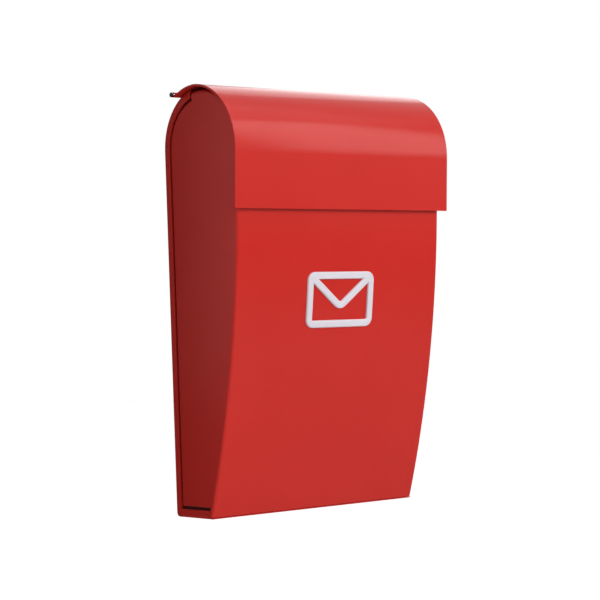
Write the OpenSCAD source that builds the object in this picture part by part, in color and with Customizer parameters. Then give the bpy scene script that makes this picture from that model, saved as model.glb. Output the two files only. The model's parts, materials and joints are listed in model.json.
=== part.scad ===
// Wall letter box of folded sheet steel: a back shell whose arch and rims carry a curved
// front shell, under a lid that swings up on a rod along the top of the arch.
// The frame: X across, Y = 0 at the wall with the front towards -Y, Z up. The origin is
// midway between the two wall screws. Heights below are measured from the box's underside.

/* [Body] */
// Width over the side walls
body_w = 238.5; // [190:0.5:300]
// Height to the top of the arch
body_h = 383; // [340:1:460]
// Greatest depth, just below the arch
body_d = 106.5; // [90:0.5:130]
// Depth at the bottom
base_d = 52.5; // [40:0.5:70]
// Thickness of the sheet
sheet_t = 1; // [0.8:0.1:1.2]
// Outer radius of the upright front edges
edge_r = 4; // [3:0.5:6]

/* [Back rim] */
// Width of the hemmed rim that laps the side walls
rim_w = 7.5; // [6:0.5:10]
// Width of the groove between the rim and the raised side wall
groove_w = 2.8; // [1.2:0.1:4]
// How far the top of the back shell reaches forward from the wall
arch_reach = 41; // [36:1:48]
// Outer radius of the fold between the back and the bottom
heel_r = 4; // [3:0.5:6]
// Outer radius of the folds from the back, arch and bottom into the rim
fold_r = 1.5; // [1.5:0.1:2]

/* [Mail opening] */
// Height of the front wall's top edge
front_h = 308; // [290:1:315]
// Drop of the side walls' arch below the back shell's arch
side_drop = 3; // [2.5:0.5:5]
// Width of the lip turned in round the opening
lip_w = 8; // [5:0.5:12]

/* [Lid] */
// How far the lid reaches past each side wall
lid_overhang = 6.4; // [4:0.1:12]
// Height of the lid's lower edge
lid_low = 271.5; // [250:0.5:285]
// Gap between the lid and the arch
lid_gap = 0.6; // [0.5:0.1:1.5]
// Gap between the lid and the line of the front wall
lid_stand = 5.7; // [4:0.1:8]
// Lean of the lid's flap towards the box, in degrees
lid_lean = 3.5; // [0:0.5:4]
// Radius of the lid's lower corners
lid_corner_r = 1; // [1:0.5:10]
// Gap between the hems at the lid's ends and the side walls
hem_gap = 1; // [0.5:0.1:2]

/* [Hinge] */
// Diameter of the hinge rod
rod_d = 2.6; // [2:0.1:4]
// Place of the rod on the arch, in degrees up from the wall side
rod_angle = 60; // [55:1:68]
// Radial clearance of the rod in the clips
rod_clear = 0.05; // [0.02:0.01:0.1]
// Width of each hinge clip
clip_w = 16; // [10:1:30]
// Distance between the middles of the hinge clips
clip_spacing = 160; // [120:1:180]
// Length of a clip's foot along the arch
clip_foot = 22; // [14:1:30]
// Gap between a clip and the lid's curl
clip_gap = 1; // [0.5:0.1:2]
// Diameter of the caps on the rod's ends
cap_d = 4.4; // [4.2:0.1:6]
// Length of a cap
cap_l = 1.6; // [1.4:0.1:3]
// Thickness of a cap's closed end
cap_wall = 0.6; // [0.4:0.1:0.8]
// Bare rod between the lid and a cap
cap_stand = 1.2; // [0.5:0.1:3]

/* [Wall screws] */
// Distance between the two wall screws
screw_spacing = 160; // [100:1:180]
// Diameter of the screw holes
screw_d = 5.5; // [4:0.1:7]
// Height of the screw holes
screw_h = 300; // [260:1:310]

/* [Hidden] */

round_fn = 96;
long_arc_fn = 720;
reach = 10;
seat_gap = 0.2;
sill_gap = 0.4;
rim_end_gap = 0.3;
edge_margin = 0.3;
cap_round = 0.6;
curl_lap = 8;
hem_start = 4;
fold_start = 6;

hem_t = 2 * sheet_t;
half_w = body_w / 2;
field_inset = rim_w + groove_w;
nose_inset = edge_r + edge_margin;

// Arch of the back shell, seen from the side: its middle and its radius
arch_r = body_d / 2;
arch_y = -arch_r;
arch_z = body_h - arch_r;

// Front shell: the arch of its side walls, and the long arc of its front wall, which
// stands upright where the two arcs meet and reaches base_d at the bottom
shell_z = body_h - side_drop - arch_r;
front_bulge = body_d - base_d;
front_r = (front_bulge * front_bulge + shell_z * shell_z) / (2 * front_bulge);
front_y = front_r - body_d;
shell_low = sheet_t + sill_gap;

// Fold at the front wall's top edge
lip_z = front_h - fold_r;
lip_angle = asin((shell_z - lip_z) / (front_r - fold_r));
lip_y = front_y - (front_r - fold_r) * cos(lip_angle);

// Lid: close over the arch behind its top, on a larger arc in front of it
lid_w = body_w + 2 * lid_overhang;
lid_rear_r = arch_r + lid_gap + sheet_t;
lid_front_r = arch_r + lid_stand + sheet_t;
lid_front_z = arch_z + lid_rear_r - lid_front_r;
hem_w = lid_overhang - hem_gap;

// Hinge rod, which lies on the outside of the lid's tail
rod_r = rod_d / 2;
rod_dist = lid_rear_r + rod_r;
rod_y = arch_y + rod_dist * cos(rod_angle);
rod_z = arch_z + rod_dist * sin(rod_angle);
rod_half = lid_w / 2 + cap_stand + cap_l - cap_wall;
curl_r = rod_r + sheet_t;
clip_bore_r = rod_r + rod_clear;
clip_loop_r = clip_bore_r + sheet_t;
notch_angle = (clip_loop_r + clip_gap) / rod_dist * 180 / PI;
foot_angle = clip_foot / arch_r * 180 / PI;

$fn = round_fn;

// Moves heights measured from the underside to the frame of the wall screws
module on_wall() {
    translate([0, 0, -screw_h])
        children();
}

// Extrudes an outline drawn in (Y, Z) along X, from x0 to x1
module across(x0, x1) {
    translate([x0, 0, 0])
        rotate([90, 0, 90])
            linear_extrude(x1 - x0)
                children();
}

// Turns a section drawn in (radius, X) about an axis along X through (y, z)
module turned(y, z, start, angle) {
    translate([0, y, z])
        rotate([90, 0, 90])
            rotate([0, 0, start])
                rotate_extrude(angle = angle)
                    children();
}

module both_sides() {
    children();
    mirror([1, 0, 0])
        children();
}

// Wedge from the middle of a circle, wide enough to hold a ring of radius r
module wedge2d(r, start, end) {
    steps = ceil((end - start) / 60);
    rim = [for (i = [0:steps]) 2.2 * r * [
        cos(start + (end - start) * i / steps), sin(start + (end - start) * i / steps)]];
    polygon(concat([[0, 0]], rim));
}

module ring2d(r_in, r_out, start, end) {
    intersection() {
        difference() {
            circle(r_out);
            circle(r_in);
        }
        wedge2d(r_out, start, end);
    }
}

// What a fold of radius r takes off a square corner at the origin
module corner_cut2d(r) {
    difference() {
        translate([-1, -1])
            square(r + 1);
        translate([r, r])
            circle(r, $fn = round_fn);
    }
}

// Side view of the space inside the back, arch and bottom, drawn in by inset and open
// towards the front
module back_region2d(inset) {
    difference() {
        union() {
            translate([arch_y, arch_z])
                circle(arch_r - inset);
            translate([-body_d - reach, inset])
                square([body_d + reach - inset, arch_z - inset]);
            translate([-body_d - reach, inset])
                square([arch_r + reach, body_h + reach]);
        }
        if (inset < heel_r)
            translate([-inset, inset])
                mirror([1, 0])
                    corner_cut2d(heel_r - inset);
    }
}

module front_disc2d(inset) {
    translate([front_y, shell_z])
        circle(front_r - inset, $fn = long_arc_fn);
}

// Side view of everything above the front shell's lower edge
module above_sill2d() {
    translate([-body_d - reach, shell_low])
        square([body_d + 2 * reach, body_h]);
}

// Side view of the front shell without its groove
module shell_outline2d() {
    intersection() {
        front_disc2d(0);
        translate([-body_d, shell_low])
            square([body_d, shell_z - shell_low]);
    }
    intersection() {
        translate([arch_y, shell_z])
            circle(arch_r);
        translate([-body_d, shell_z])
            square([body_d, arch_r]);
    }
}

module rim2d() {
    difference() {
        intersection() {
            back_region2d(0);
            union() {
                translate([-arch_reach, 0])
                    square([arch_reach, body_h]);
                intersection() {
                    front_disc2d(nose_inset + rim_end_gap);
                    translate([-body_d, 0])
                        square([body_d, rim_w]);
                }
            }
        }
        back_region2d(rim_w);
    }
}

// Back, arch and bottom as one strip of sheet, seen from the side
module back_strip2d() {
    intersection() {
        difference() {
            back_region2d(0);
            back_region2d(sheet_t);
        }
        union() {
            translate([-arch_reach, 0])
                square([arch_reach, body_h]);
            intersection() {
                front_disc2d(0);
                translate([-body_d, 0])
                    square([body_d, sheet_t]);
            }
        }
    }
}

// What the fold into one rim takes off the strip's edge
module rim_fold_cut() {
    translate([0, 0, arch_z])
        mirror([0, 0, 1])
            translate([-half_w, 0, 0])
                linear_extrude(arch_z - heel_r)
                    mirror([0, 1])
                        corner_cut2d(fold_r);
    turned(arch_y, arch_z, 0, 90)
        translate([arch_r, -half_w])
            mirror([1, 0])
                corner_cut2d(fold_r);
    turned(-heel_r, heel_r, -90, 90)
        translate([heel_r, -half_w])
            mirror([1, 0])
                corner_cut2d(fold_r);
    translate([-half_w, -heel_r, 0])
        rotate([90, 0, 0])
            linear_extrude(body_d)
                corner_cut2d(fold_r);
}

module back_shell() {
    color([0.78, 0.19, 0.17])
        on_wall()
            difference() {
                union() {
                    across(-half_w, half_w)
                        back_strip2d();
                    both_sides()
                        across(-half_w, -half_w + hem_t)
                            rim2d();
                }
                both_sides()
                    rim_fold_cut();
                both_sides()
                    translate([screw_spacing / 2, reach, screw_h])
                        rotate([90, 0, 0])
                            cylinder(h = 2 * reach, d = screw_d);
            }
}

// Section of a solid barrel with rounded ends, whose round wall is at radius r
module barrel_section2d(r_in, r, inset) {
    half = half_w - inset;
    corner = edge_r - inset;
    difference() {
        translate([r_in, -half])
            square([r - inset - r_in, 2 * half]);
        translate([r - inset, -half])
            mirror([1, 0])
                corner_cut2d(corner);
        translate([r - inset, half])
            rotate([0, 0, 180])
                corner_cut2d(corner);
    }
}

// The front shell as a solid block, drawn in by inset
module shell_block(inset) {
    front_sweep = asin(shell_z / front_r) + 1;
    turned(front_y, shell_z, 180, front_sweep, $fn = long_arc_fn)
        barrel_section2d(front_r - body_d - reach, front_r, inset);
    turned(arch_y, shell_z, 0, 180)
        barrel_section2d(0, arch_r, inset);
}

// Side view of the raised part of the side wall, drawn in from the groove by extra
module field2d(extra) {
    back_region2d(field_inset + extra);
    difference() {
        translate([-body_d - reach, 0])
            square([body_d + reach, 2 * field_inset]);
        front_disc2d(nose_inset - extra);
    }
    translate([-body_d - reach, shell_z - reach])
        square([body_d + reach - arch_reach - groove_w - extra, arch_r + 2 * reach]);
}

module mouth2d() {
    far = [cos(180 + lip_angle), sin(180 + lip_angle)] * (front_r + reach);
    translate([front_y, shell_z])
        polygon([[0, 0], far, [far[0], arch_r + reach], [0, arch_r + reach]]);
}

// Fold and inward lip along the front wall's top edge
module front_lip2d() {
    translate([lip_y, lip_z]) {
        ring2d(fold_r - sheet_t, fold_r, 90, 180 + lip_angle);
        translate([0, fold_r - sheet_t])
            square([lip_w - fold_r, sheet_t]);
    }
}

module front_shell() {
    mouth_half = half_w - lip_w;
    color([0.80, 0.20, 0.18])
        on_wall() {
            difference() {
                intersection() {
                    difference() {
                        shell_block(0);
                        shell_block(sheet_t);
                    }
                    across(-half_w - reach, half_w + reach)
                        intersection() {
                            above_sill2d();
                            field2d(0);
                        }
                }
                across(-mouth_half, mouth_half)
                    mouth2d();
            }
            across(-mouth_half, mouth_half)
                front_lip2d();
            both_sides() {
                intersection() {
                    shell_block(0);
                    across(-half_w, -half_w + hem_t + sheet_t)
                        difference() {
                            intersection() {
                                above_sill2d();
                                field2d(0);
                            }
                            field2d(sheet_t);
                        }
                }
                across(-half_w + hem_t, -half_w + hem_t + sheet_t)
                    difference() {
                        intersection() {
                            shell_outline2d();
                            back_region2d(sheet_t + seat_gap);
                        }
                        field2d(sheet_t);
                    }
            }
        }
}

// Side view of everything under the lid's outer face, drawn in by inset
module lid_region2d(inset) {
    rear_r = lid_rear_r - inset;
    front_arc_r = lid_front_r - inset;
    fall = lid_front_z - lid_low + reach;
    top = [-front_arc_r * cos(lid_lean), -front_arc_r * sin(lid_lean)];
    foot = top + fall * [tan(lid_lean), -1];
    intersection() {
        translate([arch_y, arch_z])
            circle(rear_r);
        translate([arch_y, arch_z])
            square([body_d, body_d]);
    }
    intersection() {
        translate([arch_y, lid_front_z])
            circle(front_arc_r);
        translate([arch_y - body_d, lid_front_z - body_d])
            square([body_d, 2 * body_d]);
    }
    translate([arch_y, lid_front_z])
        polygon([[0, 0], top, foot, [0, foot[1]]]);
}

// Side view of the lid's sheet between two insets, from the lower edge back to an angle
// on the arch
module lid_sheet2d(outer, inner, end) {
    far = 2 * arch_r * [cos(end), sin(end)];
    intersection() {
        difference() {
            lid_region2d(outer);
            lid_region2d(inner);
        }
        polygon([
            [arch_y, lid_low], [arch_y, arch_z], [arch_y + far[0], arch_z + far[1]],
            [-body_d - reach, arch_z + far[1]], [-body_d - reach, lid_low],
        ]);
    }
}

module lid2d() {
    lid_sheet2d(0, sheet_t, rod_angle);
    translate([rod_y, rod_z])
        ring2d(rod_r, curl_r, rod_angle - 180 - curl_lap, rod_angle + 90);
}

// What the hem's fold takes off the outer edge at the lid's left end
module lid_end_cut() {
    turned(arch_y, arch_z, rod_angle + fold_start, 90 - rod_angle - fold_start)
        translate([lid_rear_r, -lid_w / 2])
            mirror([1, 0])
                corner_cut2d(sheet_t);
    turned(arch_y, lid_front_z, 90, 90 + lid_lean)
        translate([lid_front_r, -lid_w / 2])
            mirror([1, 0])
                corner_cut2d(sheet_t);
    translate([-lid_w / 2, arch_y, lid_front_z])
        rotate([lid_lean, 0, 0])
            translate([0, -lid_front_r, 0])
                mirror([0, 0, 1])
                    linear_extrude(lid_front_z - lid_low + reach)
                        corner_cut2d(sheet_t);
}

module lid() {
    color([0.86, 0.26, 0.24])
        on_wall()
            difference() {
                union() {
                    across(-lid_w / 2, lid_w / 2)
                        lid2d();
                    both_sides()
                        across(-lid_w / 2, -lid_w / 2 + hem_w)
                            lid_sheet2d(sheet_t / 2, hem_t, rod_angle + hem_start);
                }
                both_sides() {
                    lid_end_cut();
                    across(clip_spacing / 2 - clip_w / 2 - clip_gap, clip_spacing / 2 + clip_w / 2 + clip_gap)
                        translate([arch_y, arch_z])
                            wedge2d(lid_rear_r, rod_angle - notch_angle, rod_angle + notch_angle);
                    translate([-lid_w / 2, arch_y, lid_low])
                        rotate([90, 0, 0])
                            linear_extrude(body_d)
                                corner_cut2d(lid_corner_r);
                }
            }
}

module hinge_rod() {
    color([0.72, 0.72, 0.74])
        on_wall()
            translate([-rod_half, rod_y, rod_z])
                rotate([0, 90, 0])
                    cylinder(h = 2 * rod_half, r = rod_r);
}

// Strap that lies on the arch behind the lid and loops round the rod
module hinge_clip(side) {
    color([0.72, 0.17, 0.15])
        on_wall()
            across(side * clip_spacing / 2 - clip_w / 2, side * clip_spacing / 2 + clip_w / 2)
                difference() {
                    union() {
                        translate([arch_y, arch_z])
                            ring2d(arch_r, arch_r + sheet_t, rod_angle - foot_angle, rod_angle);
                        translate([rod_y, rod_z])
                            circle(clip_loop_r);
                    }
                    translate([rod_y, rod_z])
                        circle(clip_bore_r);
                }
}

module hinge_clip_left() {
    hinge_clip(-1);
}

module hinge_clip_right() {
    hinge_clip(1);
}

module rod_cap() {
    color([0.05, 0.05, 0.05])
        on_wall()
            translate([lid_w / 2 + cap_stand, rod_y, rod_z])
                rotate([0, 90, 0])
                    rotate_extrude()
                        difference() {
                            union() {
                                square([cap_d / 2 - cap_round, cap_l]);
                                square([cap_d / 2, cap_l - cap_round]);
                                intersection() {
                                    translate([cap_d / 2 - cap_round, cap_l - cap_round])
                                        circle(cap_round);
                                    square([cap_d, cap_l]);
                                }
                            }
                            square([rod_r, cap_l - cap_wall]);
                        }
}

module rod_cap_left() {
    mirror([1, 0, 0])
        rod_cap();
}

module rod_cap_right() {
    rod_cap();
}

back_shell();
front_shell();
lid();
hinge_rod();
hinge_clip_left();
hinge_clip_right();
rod_cap_left();
rod_cap_right();
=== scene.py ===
import json
import math

import bmesh
import bpy
from mathutils import Matrix, Vector

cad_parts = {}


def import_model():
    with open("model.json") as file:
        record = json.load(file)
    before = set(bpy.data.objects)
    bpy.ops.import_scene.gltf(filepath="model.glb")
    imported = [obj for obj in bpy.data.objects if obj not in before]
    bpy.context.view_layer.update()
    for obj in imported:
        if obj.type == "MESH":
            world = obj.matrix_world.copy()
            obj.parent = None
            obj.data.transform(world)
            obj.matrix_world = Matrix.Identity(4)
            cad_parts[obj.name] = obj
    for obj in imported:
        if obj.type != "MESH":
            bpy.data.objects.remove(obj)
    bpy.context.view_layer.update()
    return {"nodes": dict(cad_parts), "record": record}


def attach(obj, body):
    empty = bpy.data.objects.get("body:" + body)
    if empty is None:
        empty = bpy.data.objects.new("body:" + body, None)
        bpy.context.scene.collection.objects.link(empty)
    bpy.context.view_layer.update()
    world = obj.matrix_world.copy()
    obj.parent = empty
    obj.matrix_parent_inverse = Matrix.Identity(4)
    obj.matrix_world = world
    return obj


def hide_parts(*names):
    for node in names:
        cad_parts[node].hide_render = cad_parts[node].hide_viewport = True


# Camera, found by fitting the box's edges in the photograph; place in metres
CAMERA_PLACE = Vector((-1.15395, -1.43964, -0.13046))
CAMERA_YAW = math.radians(-39.524)
CAMERA_PITCH = math.radians(0.715)
CAMERA_ROLL = math.radians(-1.992)
CAMERA_LENS = 117.38
SENSOR = 36.0

FLOOR_Z = -0.50
FLOOR_SIZE = 14.0
FLOOR_LIFT = 0.8
WORLD_FILL = 0.13

# Lamps: name, place, point aimed at, width and height, watts
LAMPS = (
    ("key", (-0.10, -2.5, 0.85), (0, -0.06, -0.05), (1.1, 1.1), 34),
    ("glow", (1.02, -1.12, 0.62), (0, -0.06, 0.03), (0.45, 1.05), 6.0),
    ("top", (0.3, -0.5, 1.25), (0, -0.05, 0.05), (1.2, 1.2), 4.0),
    ("crest", (0.95, 0.76, 0.85), (0, -0.05, 0.05), (0.5, 0.95), 1.7),
    ("spark", (-1.03, -0.45, 0.98), (-0.12, -0.08, 0.05), (0.22, 0.22), 1.4),
    ("side", (-0.22, -0.125, -0.10), (-0.119, -0.125, -0.10), (0.05, 0.6), 0.055),
)
FLAG_PLACE = (-0.5145, 1.4866, -0.10)
FLAG_AIM = (0.381, 0.2836, -0.10)
FLAG_SIZE = (1.2, 2.6)

# Sizes of the box, the same as in the CAD model, in metres; heights from the underside
SCREW_H = 0.300
BODY_W = 0.2385
BODY_H = 0.383
BODY_D = 0.1065
BASE_D = 0.0525
SHEET = 0.001
RIM_W = 0.0075
GROOVE_W = 0.0028
ARCH_REACH = 0.041
SIDE_DROP = 0.003
SEAT_GAP = 0.0002
SILL_GAP = 0.0004
NOSE = 0.0043
FOLD_R = 0.0015
FRONT_H = 0.308
LIP_W = 0.008
HEM_T = 2 * SHEET
HALF_W = BODY_W / 2
ARCH_R = BODY_D / 2
SHELL_Z = BODY_H - SIDE_DROP - ARCH_R
BULGE = BODY_D - BASE_D
FRONT_R = (BULGE ** 2 + SHELL_Z ** 2) / (2 * BULGE)
FRONT_Y = FRONT_R - BODY_D
FIELD = RIM_W + GROOVE_W
SILL = SHEET + SILL_GAP
TOP_Y = -(ARCH_REACH + GROOVE_W)
MOUTH_HALF = HALF_W - LIP_W
LIP_Z = FRONT_H - FOLD_R
LIP_ANGLE = math.asin((SHELL_Z - LIP_Z) / (FRONT_R - FOLD_R))
LIP_Y = FRONT_Y - (FRONT_R - FOLD_R) * math.cos(LIP_ANGLE)

# Front shell's own details: the upright edge is tighter than the CAD model's 4 mm, as in the photograph
EDGE_R = 0.0025
EDGE_FLAT = 0.0015
STRIP = 0.003
FIELD_ROLL = 0.0007
FIELD_FLAT = 0.0003
LIP_ROW = 60
ABOVE_LIP_STEPS = 6
ARCH_STEPS = 48
EDGE_STEPS = 10
ROLL_STEPS = 6
FOLD_STEPS = 10
JOGGLE_STEPS = 30
MERGE = 2e-6
SHARP = math.radians(28)
# ENAMEL is the plain red coat; GROOVE_PAINTED_SHADE marks faces that take painted shade, a darker red for the
# groove's shadow
ENAMEL, GROOVE_PAINTED_SHADE = 0, 1

# Envelope on the front
SIGN_W = 0.078
SIGN_H = 0.050
SIGN_Z = 0.191
SIGN_OUT = 0.0020
SIGN_SUNK = 0.0004
SIGN_CORNER = 0.0045
STROKE = 0.0066
SHOULDER = 0.0013
FLAP_INSET = 0.0008
FLAP_TIP = -0.0065
FLAP_BEND = 0.004
FLAP_STEPS = 12

COAT_EDGE = 0.0004


def srgb(r, g, b):
    """The linear colour of an 8-bit sRGB one."""
    def linear(v):
        v /= 255
        return v / 12.92 if v <= 0.04045 else ((v + 0.055) / 1.055) ** 2.4
    return linear(r), linear(g), linear(b), 1.0


def grey(v):
    return v, v, v, 1


def add_object(name, data):
    obj = bpy.data.objects.new(name, data)
    bpy.context.scene.collection.objects.link(obj)
    return obj


def rectangle(name, width, height, z):
    """A flat rectangle about the Z axis."""
    w, h = width / 2, height / 2
    mesh = bpy.data.meshes.new(name)
    mesh.from_pydata([(-w, -h, z), (w, -h, z), (w, h, z), (-w, h, z)], [], [(0, 1, 2, 3)])
    return add_object(name, mesh)


def point_at(obj, place, aim):
    obj.location = place
    obj.rotation_euler = (Vector(aim) - Vector(place)).to_track_quat("-Z", "Y").to_euler()


# Materials

class Shader:
    """A node material, with short calls to add and join nodes."""

    def __init__(self, name):
        self.material = bpy.data.materials.new(name)
        self.material.use_nodes = True
        self.nodes = self.material.node_tree.nodes
        self.links = self.material.node_tree.links
        self.bsdf = self.nodes["Principled BSDF"]
        self.place = self.add("ShaderNodeTexCoord").outputs["Object"]

    def add(self, kind, **inputs):
        node = self.nodes.new(kind)
        for key, value in inputs.items():
            node.inputs[key.replace("_", " ")].default_value = value
        return node

    def join(self, output, target):
        self.links.new(output, target)

    def feed(self, socket, output):
        self.join(output, self.bsdf.inputs[socket])

    def fix(self, socket, value):
        self.bsdf.inputs[socket].default_value = value

    def noise(self, scale, detail=2.0):
        node = self.add("ShaderNodeTexNoise", Scale=scale, Detail=detail)
        self.join(self.place, node.inputs["Vector"])
        return node.outputs["Fac"]

    def drift(self, value, base, tint):
        """A slow change between two colours."""
        node = self.nodes.new("ShaderNodeValToRGB")
        for element, place, colour in zip(node.color_ramp.elements, (0.3, 0.7), (base, tint)):
            element.position = place
            element.color = colour
        self.join(value, node.inputs["Fac"])
        self.feed("Base Color", node.outputs["Color"])

    def spread(self, value, low, high):
        node = self.add("ShaderNodeMapRange", To_Min=low, To_Max=high)
        self.join(value, node.inputs["Value"])
        self.feed("Roughness", node.outputs["Result"])

    def bump(self, height, distance, strength, normal=None):
        node = self.add("ShaderNodeBump", Strength=strength, Distance=distance)
        self.join(height, node.inputs["Height"])
        if normal is not None:
            self.join(normal, node.inputs["Normal"])
        return node.outputs["Normal"]

    def soft_edge(self, radius):
        node = self.add("ShaderNodeBevel", Radius=radius)
        node.samples = 6
        return node.outputs["Normal"]


def enamel(name, base, tint, roughness):
    """Powder coat: a slow drift of colour, fine orange peel and edges rounded by the coat."""
    s = Shader(name)
    s.drift(s.noise(9.0, detail=3.0), base, tint)
    s.spread(s.noise(35.0, detail=4.0), roughness - 0.03, roughness + 0.04)
    peel = s.bump(s.noise(1400.0, detail=1.0), 0.00003, 0.35, normal=s.soft_edge(COAT_EDGE))
    s.feed("Normal", s.bump(s.noise(160.0), 0.00010, 0.25, normal=peel))
    return s


def red_enamel():
    s = enamel("red_enamel", srgb(204, 46, 39), srgb(200, 43, 36), 0.16)
    s.fix("Specular IOR Level", 0.15)
    return s.material


def groove_painted_shade():
    """Painted shade: the red enamel made dark on the groove's wall and floor, for the shadow that falls
    there.
    """
    s = enamel("groove_painted_shade", srgb(74, 10, 10), srgb(60, 7, 8), 0.45)
    s.fix("Specular IOR Level", 0.1)
    return s.material


def white_enamel():
    return enamel("white_enamel", srgb(226, 221, 229), srgb(216, 212, 221), 0.35).material


def bare_steel():
    s = Shader("bare_steel")
    s.fix("Metallic", 1.0)
    s.drift(s.noise(60.0, detail=5.0), srgb(196, 197, 200), srgb(176, 177, 181))
    s.spread(s.noise(300.0, detail=3.0), 0.28, 0.42)
    s.feed("Normal", s.bump(s.noise(900.0), 0.00002, 0.4))
    return s.material


def black_plastic():
    s = Shader("black_plastic")
    s.drift(s.noise(200.0, detail=3.0), srgb(12, 11, 12), srgb(18, 17, 18))
    s.spread(s.noise(500.0), 0.45, 0.6)
    s.feed("Normal", s.bump(s.noise(2500.0), 0.00002, 0.4))
    return s.material


def paint(obj, material):
    obj.data.materials.clear()
    obj.data.materials.append(material)


# Front shell

def front_y(h, depth):
    """Y of the front wall at height h, at a depth under its outer face."""
    return FRONT_Y - math.sqrt((FRONT_R - depth) ** 2 - (h - SHELL_Z) ** 2)


def shell_rows():
    """Stations up the front wall and back over the arch, as functions from depth to (y, height)."""
    lip = LIP_Z - FOLD_R * math.sin(LIP_ANGLE)
    heights = [SILL + (lip - SILL) * k / LIP_ROW for k in range(LIP_ROW + 1)]
    heights += [lip + (SHELL_Z - lip) * k / ABOVE_LIP_STEPS for k in range(1, ABOVE_LIP_STEPS + 1)]
    rows = [lambda d, h=h: (front_y(h, d), h) for h in heights]

    def over_arch(t):
        def place(d):
            end = math.acos((TOP_Y + ARCH_R) / (ARCH_R - d))
            a = math.pi - t * (math.pi - end)
            return -ARCH_R + (ARCH_R - d) * math.cos(a), SHELL_Z + (ARCH_R - d) * math.sin(a)
        return place
    return rows + [over_arch(k / ARCH_STEPS) for k in range(1, ARCH_STEPS + 1)]


def edge_columns(inset):
    """Section of a rounded upright edge as (distance from the side, depth), from the side to the mouth."""
    r = EDGE_R - inset
    angles = [math.radians(90 * k / EDGE_STEPS) for k in range(EDGE_STEPS + 1)]
    arc = [(EDGE_R - r * math.cos(a), EDGE_R - r * math.sin(a)) for a in angles]
    return [(inset, STRIP)] + arc + [(EDGE_R + EDGE_FLAT, inset), (LIP_W, inset)]


def groove_path(extra):
    """The side wall's edge along the groove, from the sill to the top end, moved into the wall by extra."""
    inset, nose = FIELD + extra, NOSE - extra
    points = [(front_y(h, nose), h) for h in (SILL + (inset - SILL) * k / 4 for k in range(5))]
    corner_y = points[-1][0]
    points += [(corner_y + (-inset - corner_y) * k / 6, inset) for k in range(1, 7)]
    points += [(-inset, inset + (BODY_H - ARCH_R - inset) * k / 20) for k in range(1, 21)]
    r = ARCH_R - inset
    end = math.acos((TOP_Y + ARCH_R) / r)
    for k in range(1, 41):
        a = end * k / 40
        points.append((-ARCH_R + r * math.cos(a), BODY_H - ARCH_R + r * math.sin(a)))
    return points


def groove_roll():
    """Section of the rounded step into the groove, as (distance from the side, shift into the wall)."""
    angles = [math.radians(90 * k / ROLL_STEPS) for k in range(ROLL_STEPS + 1)]
    return [(FIELD_ROLL * (1 - math.cos(a)), FIELD_ROLL * (1 - math.sin(a))) for a in angles]


def joggle_edge():
    """The outer edge of the wall that lies under the rim, from the top end down to the sill."""
    inset = SHEET + SEAT_GAP
    start = math.acos((TOP_Y + ARCH_R) / ARCH_R)
    points = []
    for k in range(JOGGLE_STEPS + 1):
        a = start * (1 - k / JOGGLE_STEPS)
        low = -SIDE_DROP * math.sin(a) + math.sqrt(ARCH_R ** 2 - (SIDE_DROP * math.cos(a)) ** 2)
        r = min(ARCH_R - inset, low)
        points.append((-ARCH_R + r * math.cos(a), BODY_H - ARCH_R + r * math.sin(a)))
    points[0] = (TOP_Y, points[0][1])
    return points + [(-inset, SILL)]


class Sheet:
    """Collects faces by their corner points; corners at one place become one vertex."""

    def __init__(self):
        self.bm = bmesh.new()

    def face(self, points, shade=ENAMEL):
        corners = [self.bm.verts.new((x, y, h - SCREW_H)) for x, y, h in points]
        self.bm.faces.new(corners).material_index = shade

    def strips(self, a, b, shade=ENAMEL):
        for k in range(len(a) - 1):
            self.face((a[k], a[k + 1], b[k + 1], b[k]), shade)

    def done(self, name):
        bmesh.ops.remove_doubles(self.bm, verts=self.bm.verts, dist=MERGE)
        bmesh.ops.recalc_face_normals(self.bm, faces=self.bm.faces)
        mesh = bpy.data.meshes.new(name)
        self.bm.to_mesh(mesh)
        self.bm.free()
        mesh.shade_smooth()
        mesh.set_sharp_from_angle(angle=SHARP)
        return add_object(name, mesh)


def shell_edge(sheet, side, rows):
    """The rounded upright edge and the arched border over it, on one side (-1 or 1)."""
    faces = []
    for inset in (0.0, SHEET):
        columns = edge_columns(inset)
        grid = [[(side * (HALF_W - across), *row(depth)) for across, depth in columns] for row in rows]
        for a, b in zip(grid, grid[1:]):
            sheet.strips(a, b)
        faces.append(grid)
    outer, inner = faces
    sheet.strips(outer[0], inner[0])
    sheet.strips(outer[-1], inner[-1])
    sheet.strips([ring[-1] for ring in outer[LIP_ROW:]], [ring[-1] for ring in inner[LIP_ROW:]])


def side_wall(sheet, side, rows):
    """The flat side wall, the step into the groove and the wall under the rim."""
    def at(across, points):
        return [(side * (HALF_W - across), y, h) for y, h in points]

    front = [row(STRIP) for row in rows]
    flat = groove_path(FIELD_ROLL + FIELD_FLAT)
    sheet.face(at(0, front) + at(0, reversed(flat)))
    sheet.strips(at(0, flat), at(0, groove_path(FIELD_ROLL)))
    roll = [at(across, groove_path(shift)) for across, shift in groove_roll()]
    for a, b in zip(roll, roll[1:]):
        sheet.strips(a, b)
    foot = at(HEM_T, groove_path(0))
    # The groove's wall and floor take painted shade: a darker red for the shadow in the groove
    sheet.strips(roll[-1], foot, shade=GROOVE_PAINTED_SHADE)
    sheet.face(foot + at(HEM_T, joggle_edge()), shade=GROOVE_PAINTED_SHADE)

    # Inner faces
    inner, back = groove_path(SHEET), HEM_T + SHEET
    sheet.face(at(SHEET, front) + at(SHEET, reversed(inner)))
    sheet.strips(at(SHEET, inner), at(back, inner))
    sheet.face(at(back, inner) + at(back, joggle_edge()))

    # End of the border, where the mouth reaches the back shell
    top = [(across, rows[-1](depth)[1]) for across, depth in edge_columns(0.0)[1:EDGE_STEPS + 2]]
    rolled = [(across, groove_path(shift)[-1][1]) for across, shift in groove_roll()]
    end = [(HEM_T, rolled[-1][1]), (back, rolled[-1][1]), (back, top[-1][1])]
    for y in (TOP_Y, TOP_Y - SHEET):
        sheet.face([(side * (HALF_W - across), y, h) for across, h in rolled + end + top[::-1]])


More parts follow.
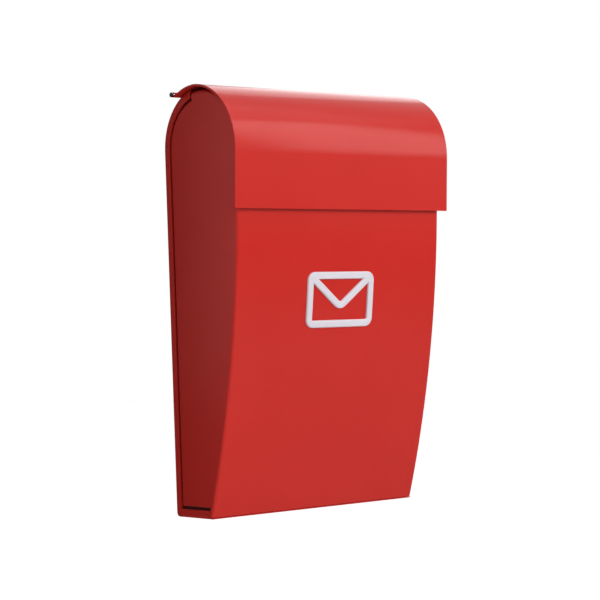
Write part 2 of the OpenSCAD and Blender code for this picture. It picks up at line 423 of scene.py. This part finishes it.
def front_lip(sheet):
    """Fold and inward lip along the front wall's top edge."""
    start, stop = math.pi + LIP_ANGLE, math.pi / 2

    def arc(r):
        angles = [start + (stop - start) * k / FOLD_STEPS for k in range(FOLD_STEPS + 1)]
        return [(LIP_Y + r * math.cos(a), LIP_Z + r * math.sin(a)) for a in angles]
    outer = arc(FOLD_R) + [(LIP_Y + LIP_W - FOLD_R, FRONT_H)]
    inner = arc(FOLD_R - SHEET) + [(LIP_Y + LIP_W - FOLD_R, FRONT_H - SHEET)]
    loop = outer + inner[::-1]
    left = [(-MOUTH_HALF, y, h) for y, h in loop]
    right = [(MOUTH_HALF, y, h) for y, h in loop]
    sheet.strips(left, right)
    sheet.face(left)
    sheet.face(right)


def front_shell():
    sheet = Sheet()
    rows = shell_rows()
    for side in (-1, 1):
        shell_edge(sheet, side, rows)
        side_wall(sheet, side, rows)

    def band(a, b):
        """Across the front, between two (y, height) points."""
        sheet.face(((-MOUTH_HALF, *a), (MOUTH_HALF, *a), (MOUTH_HALF, *b), (-MOUTH_HALF, *b)))
    for inset in (0.0, SHEET):
        for a, b in zip(rows[:LIP_ROW], rows[1:LIP_ROW + 1]):
            band(a(inset), b(inset))
    band(rows[0](0), rows[0](SHEET))
    front_lip(sheet)
    return sheet.done("front_shell_sheet")


# Envelope on the front

def front_point(x, h, out=0.0):
    """The point on the front wall at x and height h, moved out from it."""
    rise = h - SHELL_Z
    across = math.sqrt(FRONT_R ** 2 - rise ** 2)
    y = FRONT_Y - across * (1 + out / FRONT_R)
    return Vector((x, y, h + rise * out / FRONT_R - SCREW_H))


def rounded_loop(w, h, r, corner_steps=8, side_steps=6):
    """Points of a rounded rectangle about the origin, with the outward normal at each."""
    x, z = w / 2 - r, h / 2 - r
    corners = [(x, z, 0), (-x, z, 90), (-x, -z, 180), (x, -z, 270)]
    points = []
    for i, (x, z, start) in enumerate(corners):
        for k in range(corner_steps + 1):
            a = math.radians(start + 90 * k / corner_steps)
            normal = (math.cos(a), math.sin(a))
            points.append(((x + r * normal[0], z + r * normal[1]), normal))
        next_x, next_z, _ = corners[(i + 1) % 4]
        a = math.radians(start + 90)
        n = (math.cos(a), math.sin(a))
        ax, az = x + r * n[0], z + r * n[1]
        bx, bz = next_x + r * n[0], next_z + r * n[1]
        for k in range(1, side_steps):
            t = k / side_steps
            points.append(((ax + (bx - ax) * t, az + (bz - az) * t), n))
    return points


def stroke_section(steps=8):
    """Offsets and heights over a raised stroke: upright flanks that a soft shoulder turns into a flat top."""
    half = STROKE / 2
    left = [(-half, -SIGN_SUNK)]
    for k in range(steps + 1):
        a = math.radians(90 * k / steps)
        left.append((-half + SHOULDER * (1 - math.cos(a)), SIGN_OUT - SHOULDER + SHOULDER * math.sin(a)))
    return left + [(-u, out) for u, out in reversed(left)]


def strip(bm, path, closed):
    """Sweeps the stroke's section along a flat path of (point, normal) pairs, on the front wall."""
    section = stroke_section()
    rings = []
    for (x, z), (nx, nz) in path:
        places = [front_point(x + u * nx, SIGN_Z + z + u * nz, out) for u, out in section]
        rings.append([bm.verts.new(place) for place in places])
    following = rings[1:] + rings[:1] if closed else rings[1:]
    for a, b in zip(rings, following):
        for k in range(len(section) - 1):
            bm.faces.new((a[k], a[k + 1], b[k + 1], b[k]))


def flap_path():
    """The flap's two lines with a rounded tip between them, as (point, normal) pairs."""
    side = SIGN_W / 2 - STROKE / 2 - FLAP_INSET
    top = SIGN_H / 2 - STROKE / 2 - FLAP_INSET
    slope = math.atan2(top - FLAP_TIP, side)
    normal = (math.sin(slope), math.cos(slope))
    path = []
    for k in range(FLAP_STEPS + 1):
        run = k / FLAP_STEPS * (side - FLAP_BEND)
        path.append(((-side + run, top - run * math.tan(slope)), normal))
    knee = FLAP_BEND / math.sin(slope)
    base = FLAP_TIP + FLAP_BEND * math.tan(slope) + knee * math.cos(slope)
    for k in range(1, FLAP_STEPS):
        a = slope - 2 * slope * k / FLAP_STEPS
        path.append(((-knee * math.sin(a), base - knee * math.cos(a)), (math.sin(a), math.cos(a))))
    mirrored = [((-x, z), (-nx, nz)) for (x, z), (nx, nz) in reversed(path[:FLAP_STEPS + 1])]
    return path + mirrored


def envelope():
    """A raised, soft-edged envelope: a border and the two lines of its flap."""
    bm = bmesh.new()
    strip(bm, rounded_loop(SIGN_W - STROKE, SIGN_H - STROKE, SIGN_CORNER), True)
    strip(bm, flap_path(), False)
    bmesh.ops.recalc_face_normals(bm, faces=bm.faces)
    for face in bm.faces:
        face.smooth = True
    mesh = bpy.data.meshes.new("envelope")
    bm.to_mesh(mesh)
    bm.free()
    return add_object("envelope", mesh)


# Stage

def pale_floor():
    """A white floor that keeps shadows, and no edge against the white world."""
    floor = rectangle("floor", FLOOR_SIZE, FLOOR_SIZE, FLOOR_Z)
    s = Shader("floor")
    s.fix("Roughness", 0.9)
    s.drift(s.noise(3.0), grey(0.90), grey(0.92))
    s.fix("Emission Color", grey(1))
    seen = s.add("ShaderNodeLightPath")
    lift = s.add("ShaderNodeMath")
    lift.operation = "MULTIPLY"
    lift.inputs[1].default_value = FLOOR_LIFT
    s.join(seen.outputs["Is Camera Ray"], lift.inputs[0])
    s.feed("Emission Strength", lift.outputs[0])
    paint(floor, s.material)


def world():
    """White to the camera and in reflections, and a weak fill for everything else."""
    w = bpy.data.worlds.new("studio")
    bpy.context.scene.world = w
    w.use_nodes = True
    nodes, links = w.node_tree.nodes, w.node_tree.links

    def maximum(a, b):
        node = nodes.new("ShaderNodeMath")
        node.operation = "MAXIMUM"
        links.new(a, node.inputs[0])
        links.new(b, node.inputs[1])
        return node.outputs[0]

    lit = nodes["Background"]
    seen = nodes.new("ShaderNodeBackground")
    for node, strength in ((lit, WORLD_FILL), (seen, 1.0)):
        node.inputs["Color"].default_value = grey(1)
        node.inputs["Strength"].default_value = strength
    path = nodes.new("ShaderNodeLightPath").outputs
    shown = maximum(path["Is Camera Ray"], maximum(path["Is Glossy Ray"], path["Is Transmission Ray"]))
    mix = nodes.new("ShaderNodeMixShader")
    links.new(shown, mix.inputs[0])
    links.new(lit.outputs[0], mix.inputs[1])
    links.new(seen.outputs[0], mix.inputs[2])
    links.new(mix.outputs[0], nodes["World Output"].inputs["Surface"])


def flag():
    """A dark card, out of the camera's sight, that shades and is mirrored like a studio's dark side."""
    card = rectangle("flag", *FLAG_SIZE, 0)
    point_at(card, FLAG_PLACE, FLAG_AIM)
    card.visible_camera = False
    s = Shader("flag")
    s.fix("Roughness", 0.95)
    s.drift(s.noise(6.0), grey(0.03), grey(0.04))
    paint(card, s.material)


def softbox(name, place, aim, size, watts):
    data = bpy.data.lights.new(name, "AREA")
    data.shape = "RECTANGLE"
    data.size, data.size_y = size
    data.energy = watts
    lamp = add_object(name, data)
    point_at(lamp, place, aim)
    lamp.visible_camera = False


def camera():
    turn = Matrix.Rotation(CAMERA_YAW, 3, "Z")
    right = turn @ Vector((1, 0, 0))
    ahead = turn @ Vector((0, math.cos(CAMERA_PITCH), math.sin(CAMERA_PITCH)))
    up = turn @ Vector((0, -math.sin(CAMERA_PITCH), math.cos(CAMERA_PITCH)))
    rolled = math.cos(CAMERA_ROLL) * right + math.sin(CAMERA_ROLL) * up
    top = math.cos(CAMERA_ROLL) * up - math.sin(CAMERA_ROLL) * right
    data = bpy.data.cameras.new("camera")
    data.lens = CAMERA_LENS
    data.sensor_width = SENSOR
    cam = add_object("camera", data)
    axes = Matrix((rolled, top, -ahead)).transposed().to_4x4()
    cam.matrix_world = Matrix.Translation(CAMERA_PLACE) @ axes
    bpy.context.scene.camera = cam


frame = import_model()

red = red_enamel()
by_slot = {"red_enamel": red, "bare_steel": bare_steel(), "black_plastic": black_plastic()}
for part in frame["record"]["subparts"]:
    paint(frame["nodes"][part["node"]], by_slot[part["material_slot"]])

# Not by paint(): clearing a mesh's slots resets which of its faces have the groove's painted shade
shell = front_shell()
for material in (red, groove_painted_shade()):
    shell.data.materials.append(material)
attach(shell, "box")
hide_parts("front_shell")

sign = envelope()
paint(sign, white_enamel())
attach(sign, "box")

pale_floor()
world()
for lamp in LAMPS:
    softbox(*lamp)
flag()
camera()
bpy.context.scene.view_settings.view_transform = "Standard"
